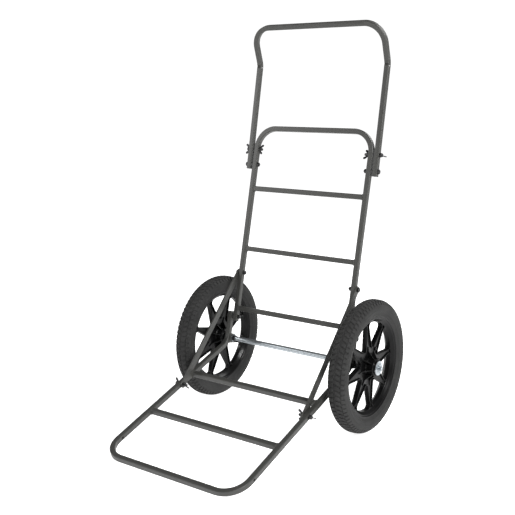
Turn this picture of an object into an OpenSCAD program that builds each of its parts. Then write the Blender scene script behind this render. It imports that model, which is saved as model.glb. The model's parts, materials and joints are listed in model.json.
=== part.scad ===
// Folding two-wheeled game cart: a toe frame and an upright, both bent from
// square steel tube, a kinked U handle bolted outside the upright, two flat
// braces and two spoked wheels on one axle.
//
// Millimetres. X runs across the cart, +Y to the back, +Z up.
// The origin is on the ground under the middle of the whole cart.
// Distances "along the legs" and "along the rails" start level with the axle.

/* [Tube] */
// Outer width of the square steel tube
tube_w = 16; // [13:0.1:20]
// Wall thickness of the square tube
tube_wall = 1.2; // [1:0.1:2]
// Outer corner radius of the square tube
tube_corner = 2.5; // [2.2:0.1:3.5]
// Centre-line radius of the frames' corner bends
corner_r = 66; // [50:1:80]

/* [Upright] */
// Overall width across the two legs
upright_w = 442; // [360:1:540]
// Distance from the axle up to the top bar's centre, along the legs
upright_len = 708; // [580:1:860]
// Backward lean of the legs
upright_lean = 12.6; // [8:0.1:18]
// Gap between the axle rod and the risers in front of it
riser_gap = 0.5; // [0.3:0.1:6]
// Distance from the axle up to the legs' lower ends
leg_start = 62; // [50:1:68]
// Distance from the axle up to the lowest crossbar
first_crossbar = 104; // [95:1:130]
// Number of crossbars between the legs, spaced evenly up to the top bar
crossbars = 3; // [3:1:3]

/* [Toe frame] */
// Distance from the axle to the front bar's centre, along the rails
toe_len = 633; // [500:1:780]
// Distance of the rails' centre line below the axle
rail_drop = 4.1; // [0:0.1:8]
// Distance from the axle to the rear crossbar
toe_rear_bar = 216; // [150:1:250]
// Distance from the middle crossbar to the front bar
front_bay = 210; // [100:1:290]
// Centre-line radius of the bends between rails and risers
heel_r = 50; // [40:1:60]
// Length of the risers above the frame hinge
riser_above_hinge = 13; // [12:0.5:16]
// Distance of the lashing holes behind the start of the front corners
lash_hole_inset = 9; // [6:0.5:60]
// Diameter of the lashing holes
lash_hole_d = 7; // [5:0.5:9]

/* [Handle] */
// Distance of the handle's pivot below the upright's top bar, along the legs
handle_pivot_drop = 121; // [117:1:150]
// Distance from the handle's pivot up to its locking bolt
handle_lock_above = 51; // [40:1:51]
// Length of the arms below the pivot
handle_tail = 13; // [12:0.5:18]
// Length of the arms from the pivot to the kink
handle_lower_len = 331; // [250:1:420]
// Length from the kink to the grip bar's centre
handle_upper_len = 122; // [110:1:160]
// Forward tilt of the arms against the legs
handle_tilt = 2.1; // [0:0.1:4]
// Angle of the kink
handle_kink = 29.2; // [15:0.1:40]
// Centre-line radius of the kink
kink_r = 40; // [35:1:60]
// Centre-line radius of the grip's corner bends
grip_corner_r = 62; // [50:1:80]

/* [Sides] */
// Thickness of the flat braces, which lie in the gap between legs and rails
brace_t = 5; // [3:0.1:7]
// Gap on each side of a brace
brace_gap = 0.5; // [0.4:0.1:1.5]
// Width of the flat braces
brace_w = 21; // [18:0.5:25]
// Distance from the axle up to the braces' upper bolts, along the legs
brace_top_at = 224; // [180:1:280]
// Distance from the axle to the braces' lower bolts, along the rails
brace_foot_at = 277; // [262:1:360]
// Distance from the axle up to the frame hinge, along the legs
hinge_at = 75; // [70:1:84]

/* [Wheels] */
// Outer diameter of the tyres
wheel_d = 409; // [340:1:500]
// Gap between the tyres and the rails beside them
tyre_gap = 13; // [12:0.5:40]
// Width of the tyres
tyre_w = 58; // [48:1:70]
// Height of the tyres above the rims' seat
tyre_h = 54.5; // [45:0.5:66]
// Diameter of the air space inside the tyres
tyre_core_d = 34; // [20:1:34]
// Height of the rims' flanges above the seat
flange_h = 6; // [4:0.5:8]
// Width of the rims
rim_w = 40; // [34:1:44]
// Depth of the rims from the tyre seat in to the spokes' windows
rim_depth = 13; // [11:0.5:20]
// Number of spokes
spokes = 8; // [6:1:10]
// Width of a spoke at the rim
spoke_tip_w = 7; // [6:0.5:14]
// Width that a spoke would reach at the wheel's centre
spoke_root_w = 55; // [30:0.5:58]
// Thickness of the spokes along the axle
spoke_t = 16; // [12:1:24]
// Diameter of the hub's flange
hub_flange_d = 122; // [90:1:136]
// Outer diameter of the hub
hub_d = 50; // [40:1:60]
// Distance from a wheel's middle plane to its hub's outer end
hub_outer_len = 35.5; // [30:0.5:45]
// Turn of the left wheel's spokes
left_wheel_turn = 22; // [0:0.5:45]
// Turn of the right wheel's spokes
right_wheel_turn = 7; // [0:0.5:45]

/* [Axle] */
// Diameter of the axle rod
axle_d = 12; // [10:0.1:14.5]
// Wall thickness of the sleeve over the axle rod
sleeve_wall = 2.45; // [1:0.05:4]
// Length of bare thread between the sleeve and each inner nut
bare_thread = 16; // [2:0.5:30]
// Thickness of the plates that hold the axle
plate_t = 3; // [2:0.5:4]
// Height of the plates that hold the axle
plate_h = 30; // [26:1:36]
// Wall thickness of the hubs' bushes
bush_wall = 3.95; // [2:0.05:6]

/* [Fasteners] */
// Diameter of the pivot and locking bolts
bolt_d = 8; // [6:0.1:9.6]
// Span of a pair of wings
wing_span = 34; // [28:1:40]
// Radial clearance of a shaft in its hole
running_fit = 0.05; // [0.02:0.01:0.1]
// Gap between pieces that move past each other
free_gap = 0.3; // [0.2:0.05:0.5]

/* [Hidden] */
$fn = 64;

left = -1;
right = 1;
powder_coat = "dimgray";
black_plastic = "black";
rubber = "darkslategray";
zinc = "silver";
dark_steel = "slategray";

// Places across the cart, on its right-hand half
half_tube = tube_w / 2;
leg_x = upright_w / 2 - half_tube;
leg_inner_x = leg_x - half_tube;
leg_outer_x = leg_x + half_tube;
side_gap = brace_t + 2 * brace_gap;
rail_inner_x = leg_outer_x + side_gap;
rail_x = rail_inner_x + half_tube;
rail_outer_x = rail_x + half_tube;
brace_x = leg_outer_x + side_gap / 2;
half_track = rail_outer_x + tyre_gap + tyre_w / 2;

// Places along the legs and along the rails
leg_offset = half_tube + riser_gap + axle_d / 2;
crossbar_pitch = (upright_len - first_crossbar) / crossbars;
handle_pivot_at = upright_len - handle_pivot_drop;
handle_lock_at = handle_pivot_at + handle_lock_above;
toe_middle_bar = toe_len - front_bay;
lash_hole_at = toe_len - corner_r - lash_hole_inset;

// The front bar's lowest corner and the tyres stand on the ground
axle_z = wheel_d / 2;
flat_half = half_tube - tube_corner;
corner_reach = sqrt(2) * flat_half;
function bar_drop(slope) = corner_reach * cos(45 - slope) + tube_corner;
// The slope is found in a few steps, because the bar's corner turns with it
function slope_for(guess, steps) = steps == 0 ? guess
    : slope_for(asin((axle_z - rail_drop * cos(guess) - bar_drop(guess)) / toe_len), steps - 1);
toe_slope = slope_for(0, 8);

// The origin is midway between the front bar's front and the tyres' back
front_reach = toe_len * cos(toe_slope) - rail_drop * sin(toe_slope)
    + corner_reach * cos(45 - toe_slope) + tube_corner;
axle_y = (front_reach - axle_z) / 2;

// Where a rail's and a riser's centre lines would cross
heel_turn = 90 - toe_slope - upright_lean;
heel_run = heel_r * tan(heel_turn / 2);
heel_rail_at = (leg_offset + rail_drop * cos(heel_turn)) / sin(heel_turn) + heel_run;
heel_riser_at = heel_run - (rail_drop + leg_offset * cos(heel_turn)) / sin(heel_turn);
riser_end_at = hinge_at + riser_above_hinge;

kink_run = kink_r * tan(handle_kink / 2);
// The tube gets a little narrower in these bends, and the straight tube laps over them
bend_squeeze = 0.05;
bend_lap = 0.5;
hole_d = bolt_d + 2 * running_fit;

// Axle parts, from the plates outwards
plate_inner_x = rail_inner_x + bend_squeeze - plate_t;
plate_outer_x = rail_outer_x - bend_squeeze + plate_t;
// The plates stay below the risers' straight tube
plate_end_d = 2 * min(plate_h / 2, heel_riser_at - bend_lap);
axle_washer_t = 2;
axle_nut_h = 8;
thin_nut_h = 5.5;
axle_nut_d = 1.83 * axle_d;
axle_washer_d = 2 * axle_d;
hub_inner_x = plate_outer_x + thin_nut_h + axle_washer_t + free_gap;
hub_outer_x = half_track + hub_outer_len;
sleeve_bore = axle_d + 2 * running_fit;
sleeve_half = plate_inner_x - axle_washer_t - axle_nut_h - bare_thread;
bush_d = axle_d + 2 * running_fit + 2 * bush_wall;
end_washer_d = 44;
end_washer_t = 2.5;
end_washer_x = hub_outer_x + free_gap;
cotter_d = 3.2;
cotter_x = end_washer_x + end_washer_t + cotter_d;
axle_end_x = cotter_x + cotter_d + 3;

// Hex bolts and nuts
hex_d = 1.87 * bolt_d;
bolt_head_h = 5.3;
nut_h = 6.5;
thread_past_nut = 3;
spacer_d = 2 * bolt_d;

// Tube plugs, which stop short of the bolt nearest to the tube's end
plug_cap_t = 2;
plug_bolt_gap = 1;

// Wings
boss_d = 1.8 * bolt_d;
boss_h = 8;
wing_t = 2.6;
wing_h = 15;
stud_past_boss = 5;
wing_turn = 25;
wing_slide_gap = 0.2;

// ---- Tube shapes ----

module rounded_square(width, radius) {
    square([width, width - 2 * radius], center = true);
    square([width - 2 * radius, width], center = true);
    for (sx = [-1, 1], sy = [-1, 1])
        translate([sx, sy] * (width / 2 - radius)) circle(radius);
}

module tube_section(squeeze = 0) {
    width = tube_w - 2 * squeeze;
    difference() {
        rounded_square(width, tube_corner);
        rounded_square(width - 2 * tube_wall, tube_corner - tube_wall);
    }
}

// Straight tube along +Z
module tube(length) {
    linear_extrude(length) tube_section();
}

// Bend that starts along +Z and turns towards +Y
module tube_bend(radius, turn, squeeze = 0) {
    translate([0, radius, 0]) rotate([0, 90, 0]) rotate([0, 0, -90 - turn])
        rotate_extrude(angle = turn) translate([radius, 0]) tube_section(squeeze);
}

// Carries what follows a bend to the bend's far end
module after_bend(radius, turn) {
    translate([0, radius, 0]) rotate([-turn, 0, 0]) translate([0, -radius, 0]) children();
}

// Two legs along +Z, joined by a bar across their far ends
module u_tube(half_span, legs_from, bar_at, radius) {
    for (side = [left, right])
        translate([side * half_span, 0, 0]) {
            translate([0, 0, legs_from]) tube(bar_at - radius - legs_from);
            translate([0, 0, bar_at - radius]) rotate([0, 0, 90 * side]) tube_bend(radius, 90);
        }
    translate([radius - half_span, 0, bar_at]) rotate([0, 90, 0]) tube(2 * (half_span - radius));
}

// Straight tube across the cart
module crossbar(length) {
    rotate([0, 90, 0]) translate([0, 0, -length / 2]) tube(length);
}

// Plug pressed into a tube's end, with its cap towards -Z; the nearest bolt is at bolt_at
module tube_plug(bolt_at) {
    depth = bolt_at - hole_d / 2 - plug_bolt_gap;
    translate([0, 0, -plug_cap_t]) linear_extrude(plug_cap_t) rounded_square(tube_w, tube_corner);
    linear_extrude(depth) rounded_square(tube_w - 2 * tube_wall, tube_corner - tube_wall);
}

// ---- Fasteners, all along +X from the right-hand side ----

module both_sides() {
    for (side = [left, right]) on_side(side) children();
}

module on_side(side) {
    mirror([side == left ? 1 : 0, 0, 0]) children();
}

// Round bar between two places along X
module bar_x(from_x, to_x, diameter) {
    translate([from_x, 0, 0]) rotate([0, 90, 0]) cylinder(h = to_x - from_x, d = diameter);
}

module ring_x(from_x, to_x, outer_d, inner_d) {
    difference() {
        bar_x(from_x, to_x, outer_d);
        bar_x(from_x - 1, to_x + 1, inner_d);
    }
}

module hex_x(from_x, to_x, across) {
    translate([from_x, 0, 0]) rotate([0, 90, 0]) cylinder(h = to_x - from_x, d = across, $fn = 6);
}

module hex_nut_x(from_x, to_x, across, hole) {
    difference() {
        hex_x(from_x, to_x, across);
        bar_x(from_x - 1, to_x + 1, hole);
    }
}

// Hex bolt with its head outside head_x and its thread past the nut at nut_x
module hex_bolt(head_x, nut_x) {
    bar_x(nut_x - nut_h - thread_past_nut, head_x + 1, bolt_d);
    hex_x(head_x, head_x + bolt_head_h, hex_d);
}

module hex_nut(nut_x) {
    hex_nut_x(nut_x - nut_h, nut_x, hex_d, bolt_d);
}

// Two wings on a boss; the boss's foot is at the origin and it rises along +Z
module wings() {
    cylinder(h = boss_h, d = boss_d);
    for (turn = [0, 180])
        rotate([90, 0, turn]) translate([0, 0, -wing_t / 2]) linear_extrude(wing_t) {
            polygon([
                [0, 1], [boss_d / 2, 1], [wing_span / 2 - 3, wing_h - 7],
                [wing_span / 2 - 3, wing_h], [wing_span / 2 - 7, wing_h], [0, boss_h - 1]
            ]);
            translate([wing_span / 2 - 5, wing_h - 4]) circle(4.5);
        }
}

// Wing bolt on the outer side of a tube; its shank stops at the tube's inner face
module wing_bolt() {
    bar_x(rail_inner_x, rail_outer_x + 1, bolt_d);
    translate([rail_outer_x + wing_slide_gap, 0, 0]) rotate([wing_turn, 0, 0]) rotate([0, 90, 0]) wings();
}

// Wing nut that turns on a stud; its foot faces +X at foot_x
module wing_nut(foot_x) {
    difference() {
        translate([foot_x, 0, 0]) rotate([-wing_turn, 0, 0]) rotate([0, -90, 0]) wings();
        bar_x(foot_x - 2 * wing_h, foot_x + 1, hole_d);
    }
}

module stud(from_x, to_x) {
    bar_x(from_x, to_x, bolt_d);
}

// ---- Places ----

module at_axle() {
    translate([0, axle_y, axle_z]) children();
}

// +Z runs up the legs and +Y to their back, with the legs' centre line on Z
module at_upright() {
    at_axle() rotate([-upright_lean, 0, 0]) translate([0, -leg_offset, 0]) children();
}

// +Z runs forwards along the rails and +Y upwards, with the rails' centre line on Z
module at_rails() {
    at_axle() rotate([90 + toe_slope, 0, 0]) translate([0, -rail_drop, 0]) children();
}

// +Z runs up the arms from the handle's pivot
module at_handle() {
    at_upright() translate([0, 0, handle_pivot_at]) rotate([handle_tilt, 0, 0]) children();
}

// Past the kink, with +Z along the arms' upper lengths
module after_kink() {
    translate([0, 0, handle_lower_len - kink_run]) rotate([0, 0, 180])
        after_bend(kink_r, handle_kink) children();
}

module at_hinge() {
    at_upright() translate([0, 0, hinge_at]) children();
}

module at_handle_pivot() {
    at_upright() translate([0, 0, handle_pivot_at]) children();
}

module at_handle_lock() {
    at_upright() translate([0, 0, handle_lock_at]) children();
}

module at_brace_top() {
    at_upright() translate([0, 0, brace_top_at]) children();
}

module at_brace_foot() {
    at_rails() translate([0, 0, brace_foot_at]) children();
}

// ---- Toe frame ----

module toe_frame() {
    color(powder_coat) difference() {
        union() {
            at_rails() u_tube(rail_x, heel_rail_at - bend_lap, toe_len, corner_r);
            for (side = [left, right]) translate([side * rail_x, 0, 0]) {
                at_rails() translate([0, 0, heel_rail_at]) rotate([180, 0, 0]) rotate([0, 0, 180])
                    tube_bend(heel_r, heel_turn, bend_squeeze);
                at_upright() translate([0, 0, heel_riser_at - bend_lap])
                    tube(riser_end_at - heel_riser_at + bend_lap);
            }
        }
        both_sides() {
            at_hinge() bar_x(leg_outer_x, rail_outer_x + 1, hole_d);
            at_brace_foot() bar_x(leg_outer_x, rail_outer_x + 1, hole_d);
            at_rails() translate([0, 0, lash_hole_at]) bar_x(leg_outer_x, rail_outer_x + 1, lash_hole_d);
        }
    }
}

module toe_crossbar(at) {
    color(powder_coat) at_rails() translate([0, 0, at]) crossbar(2 * rail_inner_x);
}

module toe_rear_crossbar() {
    toe_crossbar(toe_rear_bar);
}

module toe_middle_crossbar() {
    toe_crossbar(toe_middle_bar);
}

module toe_tube_plugs() {
    color(black_plastic) both_sides()
        at_upright() translate([rail_x, 0, riser_end_at]) rotate([180, 0, 0])
            tube_plug(riser_above_hinge);
}

module hinge_bolts() {
    color(dark_steel) both_sides() at_hinge() hex_bolt(rail_outer_x, leg_inner_x - free_gap);
}

module hinge_nuts() {
    color(dark_steel) both_sides() at_hinge() hex_nut(leg_inner_x - free_gap);
}

module hinge_spacers() {
    color(black_plastic) both_sides()
        at_hinge() ring_x(leg_outer_x + free_gap, rail_inner_x, spacer_d, bolt_d);
}

// ---- Axle ----

// Plate with a round end about the axle and a square end on the tube's bend
module axle_plate(from_x) {
    foot = leg_offset + half_tube / 2;
    difference() {
        union() {
            bar_x(from_x, from_x + plate_t, plate_end_d);
            translate([from_x, -foot, -plate_end_d / 2]) cube([plate_t, foot, plate_end_d]);
        }
        bar_x(from_x - 1, from_x + plate_t + 1, axle_d);
    }
}

module axle_plates() {
    color(powder_coat) both_sides() at_axle() rotate([-upright_lean, 0, 0]) {
        axle_plate(plate_inner_x);
        axle_plate(plate_outer_x - plate_t);
    }
}

module axle_rod() {
    color(zinc) at_axle() difference() {
        bar_x(-axle_end_x, axle_end_x, axle_d);
        both_sides() translate([cotter_x, 0, 0]) cylinder(h = 2 * axle_d, d = cotter_d, center = true);
    }
}

module axle_sleeve() {
    color(zinc) at_axle() ring_x(-sleeve_half, sleeve_half, sleeve_bore + 2 * sleeve_wall, sleeve_bore);
}

module axle_nuts() {
    nut_inner_x = plate_inner_x - axle_washer_t;
    color(dark_steel) both_sides() at_axle() {
        hex_nut_x(nut_inner_x - axle_nut_h, nut_inner_x, axle_nut_d, axle_d);
        hex_nut_x(plate_outer_x, plate_outer_x + thin_nut_h, axle_nut_d, axle_d);
    }
}

module axle_washers() {
    thin_washer_x = plate_outer_x + thin_nut_h;
    color(zinc) both_sides() at_axle() {
        ring_x(plate_inner_x - axle_washer_t, plate_inner_x, axle_washer_d, axle_d);
        ring_x(thin_washer_x, thin_washer_x + axle_washer_t, axle_washer_d, axle_d);
        ring_x(end_washer_x, end_washer_x + end_washer_t, end_washer_d, axle_d);
    }
}

// Split pin with a ring head above the axle and two spread ends below it
module axle_cotter_pins() {
    ring_r = cotter_d * 1.3;
    pin_top = axle_d / 2 + 1;
    pin_end = axle_d / 2 + 5;
    color(zinc) both_sides() at_axle() translate([cotter_x, 0, 0]) {
        translate([0, 0, -pin_end]) cylinder(h = pin_end + pin_top, d = cotter_d);
        translate([0, 0, pin_top + ring_r]) rotate([0, 90, 0])
            rotate_extrude() translate([ring_r, 0]) circle(d = cotter_d / 2 + 0.4);
        for (turn = [-1, 1])
            translate([0, 0, -pin_end + cotter_d / 2]) rotate([turn * 125, 0, 0])
                cylinder(h = 7, d = cotter_d / 2);
    }
}

// ---- Upright ----

module upright_frame() {
    color(powder_coat) difference() {
        at_upright() u_tube(leg_x, leg_start, upright_len, corner_r);
        both_sides() {
            at_hinge() bar_x(0, rail_inner_x, hole_d);
            at_brace_top() bar_x(0, rail_inner_x, hole_d);
            at_handle_pivot() bar_x(0, rail_inner_x, hole_d);
            at_handle_lock() bar_x(0, rail_inner_x, hole_d);
        }
    }
}

module upright_crossbar(count) {
    color(powder_coat) at_upright()
        translate([0, 0, first_crossbar + count * crossbar_pitch]) crossbar(2 * leg_inner_x);
}

module upright_lower_crossbar() {
    upright_crossbar(0);
}

module upright_middle_crossbar() {
    upright_crossbar(1);
}

module upright_upper_crossbar() {
    upright_crossbar(2);
}

module upright_tube_plugs() {
    color(black_plastic) both_sides() at_upright() translate([leg_x, 0, leg_start])
        tube_plug(hinge_at - leg_start);
}

module handle_pivot_bolts() {
    color(dark_steel) both_sides() at_handle_pivot() hex_bolt(rail_outer_x + free_gap, leg_inner_x);
}

module handle_pivot_nuts() {
    color(dark_steel) both_sides() at_handle_pivot() hex_nut(leg_inner_x);
}

module handle_pivot_spacers() {
    color(black_plastic) both_sides()
        at_handle_pivot() ring_x(leg_outer_x, rail_inner_x - free_gap, spacer_d, bolt_d);
}

// Threaded ends of the locking bolts, which stay in the legs
module handle_lock_studs() {
    color(dark_steel) both_sides() at_handle_lock()
        stud(leg_inner_x - wing_slide_gap - boss_h - stud_past_boss, leg_outer_x);
}

module brace_bolts() {
    color(dark_steel) both_sides() at_brace_top() hex_bolt(brace_x + brace_t / 2 + free_gap, leg_inner_x);
}

module brace_nuts() {
    color(dark_steel) both_sides() at_brace_top() hex_nut(leg_inner_x);
}

// ---- Handle ----

module handle_frame() {
    color(powder_coat) difference() {
        at_handle() {
            for (side = [left, right]) translate([side * rail_x, 0, 0]) {
                translate([0, 0, -handle_tail]) tube(handle_tail + handle_lower_len - kink_run + bend_lap);
                translate([0, 0, handle_lower_len - kink_run]) rotate([0, 0, 180])
                    tube_bend(kink_r, handle_kink, bend_squeeze);
            }
            after_kink() u_tube(rail_x, -bend_lap, handle_upper_len - kink_run, grip_corner_r);
        }
        both_sides() {
            at_handle_pivot() bar_x(leg_outer_x, rail_outer_x + 1, hole_d);
            at_handle_lock() bar_x(leg_outer_x, rail_outer_x + 1, hole_d);
        }
    }
}

module handle_tube_plugs() {
    color(black_plastic) both_sides() at_handle() translate([rail_x, 0, -handle_tail])
        tube_plug(handle_tail);
}

// ---- Braces ----

// A place in the plane of the cart's side, as [y, z] from the axle
function leg_point(at) = [
    at * sin(upright_lean) - leg_offset * cos(upright_lean),
    at * cos(upright_lean) + leg_offset * sin(upright_lean)
];
function rail_point(at) = [
    -at * cos(toe_slope) + rail_drop * sin(toe_slope),
    -at * sin(toe_slope) - rail_drop * cos(toe_slope)
];
brace_span = rail_point(brace_foot_at) - leg_point(brace_top_at);
brace_len = norm(brace_span);
brace_angle = atan2(brace_span[1], brace_span[0]);

// Flat bar with round ends, from its top hole to its foot hole
module brace(side) {
    top = leg_point(brace_top_at);
    from_x = brace_x - brace_t / 2;
    to_x = brace_x + brace_t / 2;
    color(powder_coat) on_side(side) at_axle() translate([0, top[0], top[1]]) rotate([brace_angle, 0, 0])
        difference() {
            union() {
                bar_x(from_x, to_x, brace_w);
                translate([0, brace_len, 0]) bar_x(from_x, to_x, brace_w);
                translate([from_x, 0, -brace_w / 2]) cube([brace_t, brace_len, brace_w]);
            }
            bar_x(from_x - 1, to_x + 1, hole_d);
            translate([0, brace_len, 0]) bar_x(from_x - 1, to_x + 1, bolt_d);
        }
}

// Threaded end of a brace's locking bolt, which stays in the brace
module brace_stud(side) {
    color(dark_steel) on_side(side) at_brace_foot()
        stud(brace_x - brace_t / 2 - wing_slide_gap - boss_h - stud_past_boss, brace_x + brace_t / 2);
}

// ---- Wheels ----

// The wheel's middle is at the origin and +Z points away from the cart
module at_wheel(side) {
    translate([side * half_track, axle_y, axle_z]) rotate([0, 90 * side, 0]) children();
}

seat_r = axle_z - tyre_h;
window_r = seat_r - rim_depth;
rim_half = rim_w / 2;
flange_t = 3;
rim_wall = 4;
land_half = spoke_t / 3;
// The spokes end inside the rim, where it is thicker than they are
spoke_end_r = (window_r + seat_r - rim_wall) / 2 + 1;
hub_flange_t = 0.8 * spoke_t;
// Keeps the seams of the round faces inside a spoke, off its middle
seam_turn = 7;

module wheel_rim(side, turn) {
    hub_in = hub_inner_x - half_track;
    hub_out = hub_outer_x - half_track;
    color(black_plastic) at_wheel(side) rotate([0, 0, turn - seam_turn]) difference() {
        union() {
            rotate_extrude() polygon([
                [seat_r, flange_t - rim_half], [seat_r + flange_h, flange_t - rim_half],
                [seat_r + flange_h, -rim_half], [seat_r - rim_wall, -rim_half],
                [window_r, -land_half], [window_r, land_half],
                [seat_r - rim_wall, rim_half], [seat_r + flange_h, rim_half],
                [seat_r + flange_h, rim_half - flange_t], [seat_r, rim_half - flange_t]
            ]);
            for (count = [0:spokes - 1])
                rotate([0, 0, seam_turn + count * 360 / spokes]) translate([0, 0, -spoke_t / 2])
                    linear_extrude(spoke_t) polygon([
                        [0, -spoke_root_w / 2], [0, spoke_root_w / 2],
                        [spoke_end_r, spoke_tip_w / 2], [spoke_end_r, -spoke_tip_w / 2]
                    ]);
            translate([0, 0, -hub_flange_t / 2]) cylinder(h = hub_flange_t, d = hub_flange_d);
            translate([0, 0, hub_in]) cylinder(h = hub_out - hub_in, d = hub_d);
        }
        translate([0, 0, hub_in - 1]) cylinder(h = hub_out - hub_in + 2, d = bush_d);
    }
}

module hub_bushes(side) {
    bush_len = 22;
    // Light push fit in the hub
    bush_fit = 0.02;
    on_side(side) color("ivory") at_axle()
        for (from_x = [hub_inner_x, hub_outer_x - bush_len])
            ring_x(from_x, from_x + bush_len, bush_d - 2 * bush_fit, axle_d + 2 * running_fit);
}

// Rounded tyre section above the rim's flanges, narrowed to fit between them below
module tyre(side) {
    roundness = 2.4;
    section_h = axle_z - seat_r - flange_h;
    middle_r = axle_z - 0.54 * section_h;
    half_h = axle_z - middle_r;
    function bulge(part) = sign(part) * pow(abs(part), 2 / roundness);
    color(rubber) at_wheel(side) rotate_extrude() difference() {
        polygon([
            [seat_r, flange_t - rim_half],
            [seat_r + flange_h, flange_t - rim_half],
            for (turn = [-130:10:130])
                [middle_r + half_h * bulge(cos(turn)), tyre_w / 2 * bulge(sin(turn))],
            [seat_r + flange_h, rim_half - flange_t],
            [seat_r, rim_half - flange_t]
        ]);
        translate([middle_r, 0]) circle(d = tyre_core_d);
    }
}

// ---- Left and right pieces by name ----

module brace_left() {
    brace(left);
}

module brace_right() {
    brace(right);
}

module brace_stud_left() {
    brace_stud(left);
}

module brace_stud_right() {
    brace_stud(right);
}

module wheel_rim_left() {
    wheel_rim(left, left_wheel_turn);
}

module wheel_rim_right() {
    wheel_rim(right, right_wheel_turn);
}

module tyre_left() {
    tyre(left);
}

module tyre_right() {
    tyre(right);
}

module hub_bushes_left() {
    hub_bushes(left);
}

module hub_bushes_right() {
    hub_bushes(right);
}

module handle_wing_bolt_left() {
    color(dark_steel) on_side(left) at_handle_lock() wing_bolt();
}

module handle_wing_bolt_right() {
    color(dark_steel) on_side(right) at_handle_lock() wing_bolt();
}

module brace_wing_bolt_left() {
    color(dark_steel) on_side(left) at_brace_foot() wing_bolt();
}

module brace_wing_bolt_right() {
    color(dark_steel) on_side(right) at_brace_foot() wing_bolt();
}

module handle_wing_nut_left() {
    color(dark_steel) on_side(left) at_handle_lock() wing_nut(leg_inner_x - wing_slide_gap);
}

module handle_wing_nut_right() {
    color(dark_steel) on_side(right) at_handle_lock() wing_nut(leg_inner_x - wing_slide_gap);
}

module brace_wing_nut_left() {
    color(dark_steel) on_side(left) at_brace_foot()
        wing_nut(brace_x - brace_t / 2 - wing_slide_gap);
}

module brace_wing_nut_right() {
    color(dark_steel) on_side(right) at_brace_foot()
        wing_nut(brace_x - brace_t / 2 - wing_slide_gap);
}

toe_frame();
toe_rear_crossbar();
toe_middle_crossbar();
toe_tube_plugs();
axle_plates();
axle_rod();
axle_sleeve();
axle_nuts();
axle_washers();
axle_cotter_pins();
hinge_bolts();
hinge_nuts();
hinge_spacers();
upright_frame();
upright_lower_crossbar();
upright_middle_crossbar();
upright_upper_crossbar();
upright_tube_plugs();
handle_pivot_bolts();
handle_pivot_nuts();
handle_pivot_spacers();
handle_lock_studs();
brace_bolts();
brace_nuts();
handle_frame();
handle_tube_plugs();
brace_left();
brace_right();
brace_stud_left();
brace_stud_right();
wheel_rim_left();
wheel_rim_right();
tyre_left();
tyre_right();
hub_bushes_left();
hub_bushes_right();
handle_wing_bolt_left();
handle_wing_bolt_right();
brace_wing_bolt_left();
brace_wing_bolt_right();
handle_wing_nut_left();
handle_wing_nut_right();
brace_wing_nut_left();
brace_wing_nut_right();
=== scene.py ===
import json
import math

import bmesh
import bpy
from mathutils import Matrix, Vector


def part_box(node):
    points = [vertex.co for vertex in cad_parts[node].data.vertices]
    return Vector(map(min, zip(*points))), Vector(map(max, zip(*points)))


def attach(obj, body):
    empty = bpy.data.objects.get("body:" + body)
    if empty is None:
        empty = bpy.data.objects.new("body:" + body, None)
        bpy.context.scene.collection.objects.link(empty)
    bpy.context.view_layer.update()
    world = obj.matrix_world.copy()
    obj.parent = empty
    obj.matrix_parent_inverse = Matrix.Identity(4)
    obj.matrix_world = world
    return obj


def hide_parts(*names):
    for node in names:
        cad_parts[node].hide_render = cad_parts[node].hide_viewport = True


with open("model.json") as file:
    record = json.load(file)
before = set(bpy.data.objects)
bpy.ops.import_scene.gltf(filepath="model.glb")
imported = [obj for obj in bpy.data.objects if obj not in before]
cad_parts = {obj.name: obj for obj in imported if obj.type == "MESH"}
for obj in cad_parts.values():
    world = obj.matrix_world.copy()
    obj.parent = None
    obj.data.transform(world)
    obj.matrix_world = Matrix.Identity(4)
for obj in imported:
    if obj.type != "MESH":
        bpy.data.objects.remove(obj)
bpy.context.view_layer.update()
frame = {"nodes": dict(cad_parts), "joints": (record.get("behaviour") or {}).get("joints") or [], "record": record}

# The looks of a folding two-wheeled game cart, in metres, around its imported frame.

MM = 0.001
NODES = frame["nodes"]
JOINTS = {joint["name"]: joint for joint in frame["joints"]}
BODY_OF = {
    node: body
    for body, nodes in frame["record"]["behaviour"]["bodies"].items()
    for node in nodes
}
SIDES = {"left": -1, "right": 1}


# ---- Places, worked out from the frame ----


def joint_place(name):
    return Vector(JOINTS[name]["pos_m"])


def mount_place(name):
    mounts = {mount["name"]: mount for mount in frame["record"]["mounts"]}
    return Vector(mounts[name]["pos_m"])


def side_box(node, side):
    """The box of a node's part on one side of the cart."""
    points = [v.co for v in NODES[node].data.vertices if v.co.x * side > 0]
    low = Vector([min(p[i] for p in points) for i in range(3)])
    high = Vector([max(p[i] for p in points) for i in range(3)])
    return low, high


def side_span(node, side):
    """How far a node's part reaches from the cart's middle: (inner, outer)."""
    low, high = side_box(node, side)
    return sorted((abs(low.x), abs(high.x)))


def middle(node, side=0):
    low, high = side_box(node, side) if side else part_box(node)
    return (low + high) / 2


HINGE = joint_place("frame_fold")
HANDLE_PIVOT = joint_place("handle_fold")
LEG_UP = (HANDLE_PIVOT - HINGE).normalized()
LEG_BACK = Vector((0, LEG_UP.z, -LEG_UP.y))
BRACE_FOOT = joint_place("right_brace_wing_nut_turn")
RAIL_FORWARD = mount_place("lashing_hole_right") - BRACE_FOOT
RAIL_FORWARD = Vector((0, RAIL_FORWARD.y, RAIL_FORWARD.z)).normalized()
RAIL_UP = Vector((0, RAIL_FORWARD.z, -RAIL_FORWARD.y))
AXLE = middle("axle_sleeve")

LEG_TURN = -math.atan2(LEG_UP.y, LEG_UP.z)
RAIL_TURN = math.atan2(-RAIL_FORWARD.y, RAIL_FORWARD.z)

TUBE = 16 * MM
BOLT_R = 4 * MM


# ---- Node trees ----


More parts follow.
